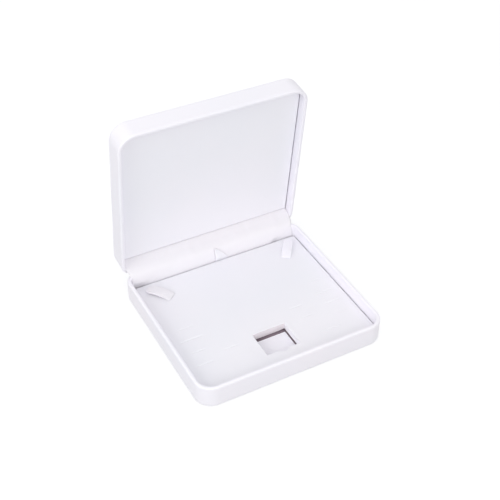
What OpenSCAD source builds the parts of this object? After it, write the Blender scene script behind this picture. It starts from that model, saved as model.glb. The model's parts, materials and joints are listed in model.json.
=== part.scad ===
// Hinged presentation case with a lift-out display pad, shown standing open.
// X runs along the hinge, -Y is the front and +Z is up; the origin is the
// middle of the face that the case stands on. Every size is in millimetres.

/* [Case] */
// Width of the case, along the hinge
box_w = 180; // [140:1:240]
// Depth of the case, front to back
box_d = 162; // [125:1:220]
// Height of the base, from the table to its rim
base_h = 22; // [20:0.5:40]
// Height of the lid, from its rim to its outer panel
lid_h = 21; // [19:0.5:40]
// Radius of the two front corners, seen from above
corner_r = 16; // [10:0.5:22]
// Radius of the two corners at the hinge side
rear_corner_r = 11; // [10:0.5:22]
// Angle that the lid stands open at its stop
lid_open = 83; // [60:1:88]

/* [Shells] */
// Thickness of the side walls of both moulded shells
shell_wall = 2.2; // [1.2:0.1:3]
// Thickness of the flat panels of both moulded shells
shell_floor = 1.4; // [1:0.1:2.5]

/* [Covering] */
// Thickness of the leatherette on the outside
wrap_t = 0.7; // [0.4:0.05:1]
// Thickness of the leatherette turned in over the rim
turn_t = 0.6; // [0.3:0.05:1]
// Width of the covering turned in under the base
under_w = 9; // [4:0.5:9.5]
// How far the covering passes below the pads on the inside
tuck = 2.5; // [1:0.5:4]
// Rounding of the rim's outer edge
rim_r = 1.5; // [0.8:0.1:1.6]
// Rounding of the rim's inner edge
rim_in_r = 1.2; // [0.5:0.1:1.3]
// Rounding of the edge round the outer panels
panel_r = 2; // [1:0.1:2.2]
// Thickness of the sheet glued under the base
sheet_t = 0.5; // [0.3:0.1:1]
// Distance from the case's side to the edge of that sheet
sheet_inset = 4; // [2.5:0.5:8]
// Thickness of the lining on the floor of the base
lining_t = 0.4; // [0.2:0.1:1]

/* [Pads] */
// Depth of the display pad's surface below the base rim
pad_drop = 11.8; // [8:0.1:14]
// Depth of the lid pad's surface below the lid rim
lid_pad_drop = 8.5; // [6:0.1:9]
// Thickness of the covers of both pads
cover_t = 0.6; // [0.4:0.1:1]
// Thickness of a cover where it is glued under its board
under_t = 0.5; // [0.3:0.1:1]
// Width of a cover's turned-under margin
margin_w = 9; // [5:0.5:14]
// Thickness of the pad boards
board_t = 1.5; // [1:0.1:2.5]
// Thickness of the foam in the display pad
foam_t = 3.5; // [1:0.1:4]
// Thickness of the foam in the lid pad
lid_foam_t = 2; // [1:0.1:3]
// Gap round both pads
pad_gap = 0.4; // [0.3:0.1:1.5]
// Distance from the case's back to the display pad's back edge
pad_back = 7.8; // [7.5:0.1:14]
// Distance from the case's back to the lid pad's back edge
lid_pad_back = 11.4; // [9:0.1:18]
// Width of the strips of board under both pads
spacer_w = 8; // [5:0.5:12]

/* [Well] */
// Width of the well in the display pad
well_w = 32.3; // [20:0.1:50]
// Depth of the well, front to back
well_d = 27.3; // [15:0.1:40]
// Distance from the case's front to the middle of the well
well_from_front = 37.1; // [30:0.1:60]
// Radius of the thumb notch in the well's front edge
notch_r = 5.5; // [3:0.5:8]
// How far the thumb notch cuts into the pad
notch_depth = 2.8; // [1.5:0.1:4]

/* [Tabs] */
// Width of the two chain tabs
tab_w = 10; // [6:0.5:14]
// Length of the chain tabs
tab_len = 26; // [18:0.5:32]
// Thickness of the chain tabs
tab_t = 1.8; // [1.2:0.1:2.2]
// Thickness of the covering round a tab's card
tab_skin_t = 0.5; // [0.3:0.1:0.5]
// Angle of the chain tabs from the side of the case
tab_angle = 35.5; // [20:0.1:50]
// Distance from the case's side to a tab's root
tab_side = 15; // [13:0.5:22]
// Distance from the case's back to a tab's root
tab_back = 13.8; // [12.5:0.1:22]
// Width of the lift tab at the pad's back edge
lift_w = 16; // [8:0.5:24]
// Height of the lift tab's tall edge above the display pad
lift_rise = 11; // [5:0.5:11]
// Height of the lift tab's short edge above the display pad
lift_fall = 2; // [1:0.5:5]
// Thickness of the lift tab
lift_t = 0.5; // [0.3:0.1:0.6]

/* [Hinge] */
// Height of the hinge axis below the rim of the base
axis_drop = 3; // [2.6:0.1:5]
// Distance of each hinge's middle from the middle of the case
hinge_x = 45; // [28:1:60]
// Length of each hinge's barrel
hinge_len = 36; // [24:1:48]
// Radius of the hinge pins
pin_r = 0.75; // [0.5:0.05:1]
// Radial clearance of the pins in the barrels
pin_gap = 0.05; // [0.02:0.01:0.1]
// Wall of the rolled barrels
barrel_wall = 0.7; // [0.5:0.05:1]
// Thickness of the hinge leaves
leaf_t = 0.8; // [0.5:0.05:1]
// Height of the leaves along the walls
leaf_h = 12; // [10:0.5:13]
// Gap between neighbouring barrels
barrel_gap = 0.2; // [0.1:0.05:0.5]
// Depth of the snap flats on the lid's barrel
flat_cut = 0.15; // [0.05:0.05:0.25]
// Thickness of the snap springs
spring_t = 0.4; // [0.2:0.05:0.5]
// Width of the snap springs
spring_w = 8; // [4:0.5:10]
// Radius of the rivets
rivet_r = 1; // [0.6:0.1:1.4]
// Thickness of the rivet heads
rivet_head_t = 0.5; // [0.3:0.1:0.6]

/* [Hinge cover] */
// Thickness of the strip that covers the hinges
strip_t = 1; // [0.6:0.1:1]
// Gap between the display pad and the strip
strip_gap = 0.9; // [0.7:0.1:1]

/* [Hidden] */
$fn = 64;

// Overrun of a cut past the faces that it goes through, and of one into the next
cut = 1;
lap = 0.01;
half_w = box_w / 2;
half_d = box_d / 2;
// Distances inwards from the case's outer face
shell_out = wrap_t;
shell_in = wrap_t + shell_wall;
inner_face = shell_in + turn_t;
// Levels in the base
skin_z = sheet_t;
shell_z = skin_z + wrap_t;
floor_z = shell_z + shell_floor;
lining_z = floor_z + lining_t;
pad_top = base_h - pad_drop;
pad_h = under_t + board_t + foam_t + cover_t;
pad_bottom = pad_top - pad_h;
// Levels in the lid, drawn shut on the base
case_h = base_h + lid_h;
lid_floor_z = case_h - wrap_t - shell_floor;
lid_pad_front = base_h + lid_pad_drop;
lid_pad_h = cover_t + lid_foam_t + board_t + under_t;
lid_pad_rear = lid_pad_front + lid_pad_h;
// Edges of the pads
pad_edge = half_d - pad_back;
lid_pad_edge = half_d - lid_pad_back;
well_y = well_from_front - half_d;
well_front = well_y - well_d / 2;
// Rest of the tabs on the pad, and the covering of their tails
tab_lie = 0.1;
tail_t = cover_t;
// Hinge axis and section, measured from the axis
axis_y = half_d;
axis_z = base_h - axis_drop;
bore_r = pin_r + pin_gap;
barrel_r = bore_r + barrel_wall;
leaf_out = -shell_in;
leaf_in = leaf_out - leaf_t;
base_arm_z = -barrel_r - 0.5;
lid_arm_z = barrel_r - 0.5;
notch_z = base_arm_z - 0.6;
spring_slot_z = notch_z - 0.4;
knuckle_len = hinge_len / 4;
notch_half = hinge_len / 2 + 0.8;
flat_at = barrel_r - flat_cut;
spring_rise = 0.6;
spring_low = 2.4 - leaf_h;
rivet_x = hinge_len / 3;
base_rivet_z = -leaf_h + 4;
lid_rivet_z = leaf_h - 1;

// ---- plan and section shapes -------------------------------------------

// A rectangle centred on the origin, with its own corner radius at the front
// and at the rear; a radius of nothing or less leaves the corner square.
module round_rect(w, d, front_r, rear_r) {
    difference() {
        square([w, d], center = true);
        for (sx = [-1, 1], corner = [[-1, front_r], [1, rear_r]])
            if (corner[1] > 0)
                scale([sx, corner[0]])
                    translate([w / 2 - corner[1], d / 2 - corner[1]])
                        difference() {
                            square(corner[1] + cut);
                            circle(corner[1]);
                        }
    }
}

// The case's outline, moved inwards.
module case_plan(inset) {
    round_rect(box_w - 2 * inset, box_d - 2 * inset, corner_r - inset, rear_corner_r - inset);
}

// A pad's outline: the case's, moved inwards and cut off at the back edge.
module pad_plan(edge, inset) {
    intersection() {
        case_plan(inner_face + pad_gap + inset);
        translate([-box_w / 2, -box_d])
            square([box_w, box_d + edge - inset]);
    }
}

// The well's outline with its thumb notch, grown outwards.
module well_plan(grow) {
    translate([-well_w / 2 - grow, well_front - grow])
        square([well_w + 2 * grow, well_d + 2 * grow]);
    translate([0, well_front - notch_depth + notch_r])
        circle(notch_r + grow);
}

// Rounds one corner of a section: the corner is at [x, y], the material
// lies towards [sx, sy].
module corner_cut(x, y, sx, sy, r) {
    translate([x, y])
        scale([sx, sy])
            difference() {
                translate([-cut, -cut])
                    square(r + cut);
                translate([r, r])
                    circle(r);
            }
}

// Section of the covering: x is inwards from the outer face, y is from the
// outer panel towards the rim.
module skin_section(height, turn_depth) {
    difference() {
        union() {
            square([inner_face, height]);
            square([under_w, wrap_t]);
        }
        translate([wrap_t, wrap_t])
            square([under_w + cut, height - turn_depth - wrap_t]);
        translate([wrap_t, wrap_t])
            square([shell_wall, height - 2 * wrap_t]);
        corner_cut(0, 0, 1, 1, panel_r);
        corner_cut(0, height, 1, -1, rim_r);
        corner_cut(inner_face, height, -1, -1, rim_in_r);
    }
}

// Carries a section round the case's outline: the four corners, the two sides,
// then the front and the rear.
module round_the_case() {
    for (sx = [-1, 1], corner = [[-1, corner_r], [1, rear_corner_r]])
        scale([sx, corner[0], 1])
            translate([half_w - corner[1], half_d - corner[1], 0])
                rotate_extrude(angle = 90)
                    translate([corner[1], 0])
                        mirror([1, 0])
                            children();
    for (sx = [-1, 1])
        scale([sx, 1, 1])
            translate([half_w, half_d - rear_corner_r, 0])
                rotate([90, 0, 0])
                    linear_extrude(box_d - corner_r - rear_corner_r)
                        mirror([1, 0])
                            children();
    for (edge = [[-1, corner_r], [1, rear_corner_r]])
        scale([1, edge[0], 1])
            translate([edge[1] - half_w, half_d, 0])
                rotate([90, 0, 90])
                    linear_extrude(box_w - 2 * edge[1])
                        mirror([1, 0])
                            children();
}

// A flat slab of a given outline between two heights.
module slab(low, high) {
    translate([0, 0, low])
        linear_extrude(high - low)
            children();
}

// Turns the lid's pieces from shut to their open place.
module opened() {
    translate([0, axis_y, axis_z])
        rotate([-lid_open, 0, 0])
            translate([0, -axis_y, -axis_z])
                children();
}

// Turns the lid's pieces over, from the base's way up to the lid's.
module turned_over() {
    translate([0, 0, case_h])
        mirror([0, 0, 1])
            children();
}

// Both hinges' places.
module at_hinges() {
    for (s = [-1, 1])
        translate([s * hinge_x, 0, 0])
            children();
}

// Extrudes a section of the y-z plane along x, centred on x = 0.
module along_x(length) {
    translate([-length / 2, 0, 0])
        rotate([90, 0, 90])
            linear_extrude(length)
                children();
}

// ---- hinge sections, measured from the axis -----------------------------

module barrel_bore(length) {
    rotate([0, 90, 0])
        cylinder(r = bore_r, h = length, center = true);
}

module barrel(length) {
    rotate([0, 90, 0])
        cylinder(r = barrel_r, h = length, center = true);
}

module yz_block(x_len, y0, y1, z0, z1) {
    translate([-x_len / 2, y0, z0])
        cube([x_len, y1 - y0, z1 - z0]);
}

// Room for a hinge in the back wall, where the barrels lie.
module barrel_notch() {
    yz_block(2 * notch_half, -inner_face - cut, barrel_r + cut, notch_z, axis_drop + cut);
}

// Room for a leaf between the shell and the turned-in covering.
module leaf_pocket(z0, z1) {
    yz_block(2 * notch_half, -inner_face - cut, leaf_out, z0, z1);
}

module rivet_holes(z) {
    for (sx = [-1, 1])
        translate([sx * rivet_x, 0, z])
            rivet_hole();
}

module rivet_hole() {
    rotate([90, 0, 0])
        cylinder(r = rivet_r, h = 2 * shell_in + 2 * leaf_t + 2 * cut, center = true);
}

// A rivet through a leaf and the shell's wall, its head on the inside.
module rivet(stack) {
    translate([0, -shell_out, 0])
        rotate([90, 0, 0])
            cylinder(r = rivet_r, h = shell_wall + stack);
    translate([0, -shell_in - stack, 0])
        rotate([90, 0, 0])
            cylinder(r = rivet_r * 1.7, h = rivet_head_t);
}

module at_axis() {
    translate([0, axis_y, axis_z])
        children();
}

// ---- base ----------------------------------------------------------------

module base_shell() {
    color("gainsboro")
        difference() {
            slab(shell_z, base_h - wrap_t)
                case_plan(shell_out);
            slab(floor_z, base_h)
                case_plan(shell_in);
            at_axis()
                at_hinges() {
                    barrel_notch();
                    rivet_holes(base_rivet_z);
                    translate([0, 0, base_rivet_z])
                        rivet_hole();
                }
        }
}

module base_wrap() {
    color("white")
        difference() {
            translate([0, 0, skin_z])
                round_the_case()
                    skin_section(base_h - skin_z, pad_drop + tuck);
            at_axis()
                at_hinges() {
                    barrel_notch();
                    leaf_pocket(-leaf_h - 0.5, 0);
                }
        }
}

module base_bottom_sheet() {
    color("lavender")
        slab(0, sheet_t)
            case_plan(sheet_inset);
}

module base_floor_lining() {
    color("lavender")
        slab(floor_z, lining_z)
            intersection() {
                case_plan(shell_in);
                translate([-half_w, -half_d])
                    square([box_w, pad_edge + half_d]);
            }
}

// Strips of board under a pad, between two heights.
module spacer_strips_along_y(low, high, edge) {
    reach = half_d - corner_r;
    for (s = [-1, 1])
        scale([s, 1, 1])
            translate([half_w - inner_face - pad_gap - spacer_w, -reach, low])
                cube([spacer_w, reach + min(reach, edge) - spacer_w, high - low]);
}

module spacer_strips_along_x(low, high, edge) {
    reach = half_w - corner_r - spacer_w;
    front = inner_face + pad_gap - half_d;
    for (y = [front, edge - spacer_w - 1])
        translate([-reach, y, low])
            cube([2 * reach, spacer_w, high - low]);
}

module side_spacers() {
    color("tan")
        spacer_strips_along_y(lining_z, pad_bottom, pad_edge);
}

module end_spacers() {
    color("tan")
        spacer_strips_along_x(lining_z, pad_bottom, pad_edge);
}

// ---- hinges ----------------------------------------------------------------

// The base's leaf of one hinge: two barrels, two arms and a plate.
module hinge_base_leaf() {
    arm_len = knuckle_len;
    color("silver")
        at_axis()
            difference() {
                union() {
                    for (s = [-1, 1])
                        translate([s * (hinge_len - arm_len) / 2, 0, 0]) {
                            barrel(arm_len);
                            yz_block(arm_len, leaf_in, 0, base_arm_z, base_arm_z + leaf_t);
                        }
                    yz_block(hinge_len, leaf_in, leaf_out, -leaf_h, base_arm_z + leaf_t);
                }
                barrel_bore(hinge_len + cut);
                rivet_holes(base_rivet_z);
                translate([0, 0, base_rivet_z])
                    rivet_hole();
                yz_block(spring_w + 1, leaf_in - cut, leaf_out + cut, spring_slot_z, 0);
            }
}

// The lid's leaf of one hinge, drawn shut: one barrel with two flats that the
// snap spring rests on, an arm and a plate.
module hinge_lid_leaf() {
    middle_len = hinge_len - 2 * knuckle_len - 2 * barrel_gap;
    color("silver")
        opened()
            at_axis()
                difference() {
                    union() {
                        barrel(middle_len);
                        yz_block(middle_len, leaf_in, 0, lid_arm_z, lid_arm_z + leaf_t);
                        yz_block(middle_len, leaf_in, leaf_out, lid_arm_z, leaf_h);
                        yz_block(hinge_len, leaf_in, leaf_out, axis_drop + wrap_t, leaf_h + axis_drop);
                    }
                    barrel_bore(hinge_len + cut);
                    rivet_holes(lid_rivet_z);
                    for (a = [0, lid_open])
                        rotate([a, 0, 0])
                            yz_block(middle_len + cut, -barrel_r - cut, -flat_at, -barrel_r, lid_arm_z);
                }
}

module hinge_pin() {
    color("silver")
        at_axis()
            rotate([0, 90, 0]) {
                cylinder(r = pin_r, h = hinge_len + 0.4, center = true);
                for (s = [-1, 1])
                    translate([0, 0, s * (hinge_len / 2 + 0.2)])
                        cylinder(r = pin_r + 0.25, h = 0.4, center = true);
            }
}

// A flat spring riveted inside the base's leaf; its free end presses on the
// lid's barrel.
module hinge_spring() {
    near = -flat_at;
    far = leaf_in;
    bend_low = spring_slot_z + 0.6;
    bend_high = bend_low + 1.5;
    color("lightsteelblue")
        at_axis()
            difference() {
                along_x(spring_w)
                    polygon([[far - spring_t, spring_low], [far, spring_low],
                             [far, bend_low], [near, bend_high], [near, spring_rise],
                             [near - spring_t, spring_rise],
                             [near - spring_t, bend_high + 0.2],
                             [far - spring_t, bend_low + 0.2]]);
                translate([0, 0, base_rivet_z])
                    rivet_hole();
            }
}

module left_hinge_base_leaf() {
    translate([-hinge_x, 0, 0])
        hinge_base_leaf();
}

module right_hinge_base_leaf() {
    translate([hinge_x, 0, 0])
        hinge_base_leaf();
}

module left_hinge_lid_leaf() {
    translate([-hinge_x, 0, 0])
        hinge_lid_leaf();
}

module right_hinge_lid_leaf() {
    translate([hinge_x, 0, 0])
        hinge_lid_leaf();
}

module left_hinge_pin() {
    translate([-hinge_x, 0, 0])
        hinge_pin();
}

module right_hinge_pin() {
    translate([hinge_x, 0, 0])
        hinge_pin();
}

module left_hinge_spring() {
    translate([-hinge_x, 0, 0])
        hinge_spring();
}

module right_hinge_spring() {
    translate([hinge_x, 0, 0])
        hinge_spring();
}

module base_hinge_rivets() {
    color("silver")
        at_axis()
            at_hinges()
                translate([0, 0, base_rivet_z]) {
                    for (sx = [-1, 1])
                        translate([sx * rivet_x, 0, 0])
                            rivet(leaf_t);
                    rivet(leaf_t + spring_t);
                }
}

module lid_hinge_rivets() {
    color("silver")
        opened()
            at_axis()
                at_hinges()
                    for (sx = [-1, 1])
                        translate([sx * rivet_x, 0, lid_rivet_z])
                            rivet(leaf_t);
}

// ---- hinge cover -----------------------------------------------------------

// A point of the shut lid, measured from the axis, in its open place.
function open_point(y, z) = [axis_y + y * cos(lid_open) + z * sin(lid_open),
                             axis_z - y * sin(lid_open) + z * cos(lid_open)];

// The strip's front face, from just above the floor of the base, over the back
// rims, to its tuck beside the lid pad.
strip_y = pad_edge + strip_gap;
strip_foot = 0.2;
tuck_near = open_point(lid_pad_edge - half_d + pad_gap, lid_pad_front - axis_z);
tuck_far = open_point(lid_pad_edge - half_d + pad_gap, lid_pad_rear - axis_z);
strip_front = [[strip_y, lining_z + strip_foot],
               [strip_y + 0.2, base_h - 8],
               [strip_y + 0.8, base_h - 3.4],
               [strip_y + 2.2, base_h - 0.2],
               [strip_y + 4.6, base_h + 2.2],
               [strip_y + 8, base_h + 4.4],
               tuck_near + [-4.6, -2.4],
               tuck_near,
               tuck_far];

// The unit normal of the strip at point i, towards its back face.
function strip_dir(i) = let (a = strip_front[max(i - 1, 0)],
                             b = strip_front[min(i + 1, len(strip_front) - 1)],
                             d = b - a) d / norm(d);
function strip_back(i) = strip_front[i] + strip_t * [strip_dir(i)[1], -strip_dir(i)[0]];

// Clearance at the strip's ends
strip_side_gap = 0.3;

// The room for the strip: the inside of the base, the inside of the open lid
// and the wedge between their rims.
module strip_room() {
    slab(0, base_h)
        case_plan(inner_face + strip_side_gap);
    opened()
        slab(base_h, case_h)
            case_plan(inner_face + strip_side_gap);
    intersection() {
        slab(base_h, 2 * base_h)
            square([box_w, 2 * box_d], center = true);
        opened()
            slab(-base_h, base_h)
                square([box_w, 2 * box_d], center = true);
    }
}

module hinge_cover_strip() {
    last = len(strip_front) - 1;
    color("white")
        intersection() {
            along_x(box_w - 2 * (inner_face + strip_side_gap))
                polygon(concat(strip_front, [for (i = [last:-1:0]) strip_back(i)]));
            strip_room();
        }
}

// ---- display pad -------------------------------------------------------------

// The place of a chain tab's root, with -Y along the tab to its free end.
module tab_frame(side) {
    scale([side, 1, 1])
        translate([half_w - tab_side, half_d - tab_back, 0])
            rotate([0, 0, -tab_angle])
                children();
}

module tab_slots() {
    for (side = [-1, 1])
        tab_frame(side)
            translate([-tab_w / 2 - 0.2, -0.2, pad_bottom - cut])
                cube([tab_w + 0.4, tail_t + 0.4, pad_h + 2 * cut]);
}

module insert_board() {
    low = pad_bottom + under_t;
    color("tan")
        difference() {
            slab(low, low + board_t)
                difference() {
                    pad_plan(pad_edge, cover_t);
                    well_plan(cover_t);
                }
            tab_slots();
        }
}

module insert_foam() {
    high = pad_top - cover_t;
    color("ivory")
        difference() {
            slab(high - foam_t, high)
                difference() {
                    pad_plan(pad_edge, cover_t);
                    well_plan(cover_t);
                }
            tab_slots();
        }
}

module insert_cover() {
    color("ghostwhite")
        difference() {
            slab(pad_bottom, pad_top)
                difference() {
                    pad_plan(pad_edge, 0);
                    well_plan(0);
                }
            slab(pad_bottom + under_t, pad_top - cover_t)
                difference() {
                    pad_plan(pad_edge, cover_t);
                    well_plan(cover_t);
                }
            slab(pad_bottom - cut, pad_bottom + under_t + lap)
                difference() {
                    pad_plan(pad_edge, margin_w);
                    well_plan(margin_w / 2);
                }
            tab_slots();
        }
}

// A tongue that lies on the pad and bends up at its root: a card in a sleeve.
module chain_tab(side) {
    color("white")
        difference() {
            tab_block(side, 0);
            tab_block(side, tab_skin_t);
        }
}

module tab_block(side, inset) {
    tab_frame(side)
        translate([inset - tab_w / 2, inset - tab_len, pad_top + tab_lie + inset])
            cube([tab_w - 2 * inset, tab_len + tail_t - 2 * inset, tab_t - 2 * inset]);
}

// The tongue's tail of bare covering, down through the pad to its glued end.
module tab_tail(side) {
    low = pad_bottom + under_t;
    color("white")
        tab_frame(side)
            translate([-tab_w / 2, 0, low])
                cube([tab_w, tail_t, pad_top + tab_lie - low]);
}

module left_chain_tab() {
    chain_tab(-1);
}

module right_chain_tab() {
    chain_tab(1);
}

module left_tab_card() {
    color("tan")
        tab_block(-1, tab_skin_t);
}

module right_tab_card() {
    color("tan")
        tab_block(1, tab_skin_t);
}

module left_tab_tail() {
    tab_tail(-1);
}

module right_tab_tail() {
    tab_tail(1);
}

// A tongue of covering that stands up behind the pad, to lift it by.
module lift_tab() {
    low = pad_bottom + under_t;
    color("white")
        translate([0, pad_edge + lift_t + (strip_gap - lift_t) / 2, 0])
            rotate([90, 0, 0])
                linear_extrude(lift_t)
                    polygon([[0, low], [lift_w, low],
                             [lift_w, pad_top + lift_fall], [0.8, pad_top + lift_rise],
                             [0, pad_top + lift_rise - 0.8]]);
}

// ---- lid, drawn shut and then opened --------------------------------------------

module lid_shell() {
    color("gainsboro")
        opened()
            difference() {
                slab(base_h + wrap_t, case_h - wrap_t)
                    case_plan(shell_out);
                slab(base_h, lid_floor_z)
                    case_plan(shell_in);
                at_axis()
                    at_hinges()
                        rivet_holes(lid_rivet_z);
            }
}

module lid_wrap() {
    color("white")
        opened()
            difference() {
                turned_over()
                    union() {
                        round_the_case()
                            skin_section(lid_h, lid_pad_drop + tuck);
                        slab(0, wrap_t)
                            case_plan(under_w - cut);
                    }
                at_axis()
                    at_hinges()
                        leaf_pocket(-cut, lid_h);
            }
}

module lid_pad_board() {
    color("tan")
        opened()
            slab(lid_pad_rear - under_t - board_t, lid_pad_rear - under_t)
                pad_plan(lid_pad_edge, cover_t);
}

module lid_pad_foam() {
    low = lid_pad_front + cover_t;
    color("ivory")
        opened()
            slab(low, low + lid_foam_t)
                pad_plan(lid_pad_edge, cover_t);
}

module lid_pad_cover() {
    color("ghostwhite")
        opened()
            difference() {
                slab(lid_pad_front, lid_pad_rear)
                    pad_plan(lid_pad_edge, 0);
                slab(lid_pad_front + cover_t, lid_pad_rear - under_t)
                    pad_plan(lid_pad_edge, cover_t);
                slab(lid_pad_rear - under_t - lap, lid_pad_rear + cut)
                    pad_plan(lid_pad_edge, margin_w);
            }
}

module lid_side_spacers() {
    color("tan")
        opened()
            spacer_strips_along_y(lid_pad_rear, lid_floor_z, lid_pad_edge);
}

module lid_end_spacers() {
    color("tan")
        opened()
            spacer_strips_along_x(lid_pad_rear, lid_floor_z, lid_pad_edge);
}

base_shell();
base_wrap();
base_bottom_sheet();
base_floor_lining();
side_spacers();
end_spacers();
left_hinge_base_leaf();
right_hinge_base_leaf();
left_hinge_lid_leaf();
right_hinge_lid_leaf();
left_hinge_pin();
right_hinge_pin();
left_hinge_spring();
right_hinge_spring();
base_hinge_rivets();
lid_hinge_rivets();
hinge_cover_strip();
insert_board();
insert_foam();
insert_cover();
left_chain_tab();
right_chain_tab();
left_tab_card();
right_tab_card();
left_tab_tail();
right_tab_tail();
lift_tab();
lid_shell();
lid_wrap();
lid_pad_board();
lid_pad_foam();
lid_pad_cover();
lid_side_spacers();
lid_end_spacers();
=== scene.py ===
"""Looks of the hinged presentation case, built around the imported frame.

Lengths are in millimetres until a mesh is made. The lid's pieces are drawn
shut, in the same frame as the base, and then turned open about the hinge.
"""

import json
import math

import bmesh
import bpy
import numpy as np
from mathutils import Matrix, Vector, noise
from mathutils.geometry import delaunay_2d_cdt


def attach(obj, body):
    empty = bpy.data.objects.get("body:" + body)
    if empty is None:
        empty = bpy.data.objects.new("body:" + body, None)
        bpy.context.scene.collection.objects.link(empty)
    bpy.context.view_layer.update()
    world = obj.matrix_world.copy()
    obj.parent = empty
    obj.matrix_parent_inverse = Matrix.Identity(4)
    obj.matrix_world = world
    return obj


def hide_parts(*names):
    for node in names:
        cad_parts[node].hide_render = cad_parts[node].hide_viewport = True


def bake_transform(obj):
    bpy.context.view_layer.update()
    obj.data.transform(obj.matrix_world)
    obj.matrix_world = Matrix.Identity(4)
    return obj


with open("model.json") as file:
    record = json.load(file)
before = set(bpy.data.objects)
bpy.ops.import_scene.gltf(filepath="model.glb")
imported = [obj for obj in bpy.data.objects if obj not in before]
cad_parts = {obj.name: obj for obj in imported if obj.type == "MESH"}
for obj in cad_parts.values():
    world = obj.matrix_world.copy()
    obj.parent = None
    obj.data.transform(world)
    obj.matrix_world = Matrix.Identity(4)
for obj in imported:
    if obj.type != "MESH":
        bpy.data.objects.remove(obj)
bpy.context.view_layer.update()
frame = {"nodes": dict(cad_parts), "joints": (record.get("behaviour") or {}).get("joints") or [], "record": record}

MM = 0.001

# ---- sizes from the frame ----

joints = {joint["name"]: joint for joint in frame["joints"]}
hinge = joints["lid_hinge"]
AXIS_Y = hinge["pos_m"][1] / MM
AXIS_Z = hinge["pos_m"][2] / MM
LID_OPEN = math.radians(hinge["range_deg"][1])


def turned(points, angle):
    """Points turned about the hinge axis; a positive angle closes the lid."""
    points = np.asarray(points, float)
    y = points[:, 1] - AXIS_Y
    z = points[:, 2] - AXIS_Z
    c, s = math.cos(angle), math.sin(angle)
    return np.c_[points[:, 0], AXIS_Y + y * c - z * s, AXIS_Z + y * s + z * c]


def box_mm(node, shut=False):
    """Lowest and highest corner of a CAD node, with the lid's nodes shut if asked."""
    points = np.array([v.co for v in frame["nodes"][node].data.vertices]) / MM
    if shut:
        points = turned(points, LID_OPEN)
    return points.min(0), points.max(0)


BASE_LOW, BASE_HIGH = box_mm("base_wrap")
PAD_LOW, PAD_HIGH = box_mm("insert_cover")
LID_PAD_LOW, LID_PAD_HIGH = box_mm("lid_pad_cover", shut=True)
LEAF_LOW, LEAF_HIGH = box_mm("right_hinge_base_leaf")

HALF_W = BASE_HIGH[0]
HALF_D = BASE_HIGH[1]
BASE_H = BASE_HIGH[2]
CASE_H = box_mm("lid_wrap", shut=True)[1][2]

# ---- sizes of the coverings ----

# The case's plan, the rim, and how much lower both rims end, so that they don't cross
FRONT_R = 16.0
REAR_R = 11.0
RIM_W = 3.5
RIM_R = 1.5
RIM_IN_R = 1.2
RIM_SEAM = 0.12

# The covering: thickness, waves, the panels' rounded edge and swelling, how wide it is
# turned under, the height at which it ends in the base, and how deep it ends in the lid
WRAP_T = 0.6
WRAP_WAVE = 0.1
PANEL_R = 2.0
PANEL_SWELL = 0.35
PANEL_SWELL_W = 30.0
UNDER_W = 9.0
BASE_TURN_END = 7.7
LID_TURN_IN = 11.0

# The cut-outs of the back wall for the hinges: the height that the wall keeps there,
# the gap beside a leaf, and how far a side leans
HINGE_CUT_TOP = 16.9
HINGE_CUT_SIDE = 0.8
HINGE_CUT_EDGE = 0.02

# Steps of the covering's section on the panel, on the walls and in a quarter circle
PANEL_STEP = 2.5
WALL_STEP = 2.2
QUARTER_STEPS = 8

# Waves of the glued covering: share of the whole and length, of the long and the short
GLUE_WAVES = ((0.7, 22), (0.3, 7))

# The rows of a triangular grid, as a share of the spacing along them
ROW_SHARE = 0.87

# Where surfaces meet at more than this angle, in degrees, the edge looks sharp
SHARP_ANGLE = 50.0

# ---- mesh helpers ----


def mesh_object(name, points, faces, smooth=True):
    """A mesh object from points in millimetres."""
    mesh = bpy.data.meshes.new(name)
    mesh.from_pydata([tuple(p) for p in np.asarray(points, float) * MM], [], faces)
    mesh.validate()
    mesh.polygons.foreach_set("use_smooth", [smooth] * len(mesh.polygons))
    mesh.update()
    piece = bpy.data.objects.new(name, mesh)
    bpy.context.scene.collection.objects.link(piece)
    return piece


def tidy_mesh(piece, merge=0.004, outwards=False):
    """Merges points that coincide, drops faces without area and may turn faces outwards."""
    bm = bmesh.new()
    bm.from_mesh(piece.data)
    bmesh.ops.remove_doubles(bm, verts=bm.verts, dist=merge * MM)
    bmesh.ops.dissolve_degenerate(bm, edges=bm.edges, dist=merge * MM)
    if outwards:
        bmesh.ops.recalc_face_normals(bm, faces=bm.faces)
    bm.to_mesh(piece.data)
    bm.free()


def apply_modifiers(piece):
    """Replaces the piece's mesh by its evaluated one and removes its modifiers."""
    graph = bpy.context.evaluated_depsgraph_get()
    graph.update()
    mesh = bpy.data.meshes.new_from_object(piece.evaluated_get(graph))
    old = piece.data
    piece.modifiers.clear()
    piece.data = mesh
    bpy.data.meshes.remove(old)
    return piece


def solidify(piece, thickness):
    """Gives a sheet its thickness, away from the side that its faces look to."""
    modifier = piece.modifiers.new("thickness", "SOLIDIFY")
    modifier.thickness = thickness * MM
    modifier.offset = -1.0
    modifier.use_even_offset = True
    modifier.thickness_clamp = 1.0
    return apply_modifiers(piece)


def wobble(points, size, seed=0.0):
    """Smooth noise between -1 and 1 at each point, for waves of about that size."""
    shift = Vector((seed * 17.3, seed * 5.1, seed * 9.7))
    return np.array([noise.noise(Vector(p) / size + shift) for p in points])


def at_each(flat, measure):
    """What measure(x, y) gives at each of the points."""
    return np.array([measure(x, y) for x, y in flat])


def clamp(value):
    """The value, kept between 0 and 1."""
    return min(max(value, 0), 1)


def ease(share):
    """A share from 0 to 1 that starts and ends gently."""
    return share * share * (3 - 2 * share)


def arc(cx, cy, radius, start, end, steps):
    """Points of an arc, from one angle to another, in degrees."""
    angles = np.radians(np.linspace(start, end, steps + 1))
    return [(cx + radius * math.cos(a), cy + radius * math.sin(a)) for a in angles]


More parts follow.
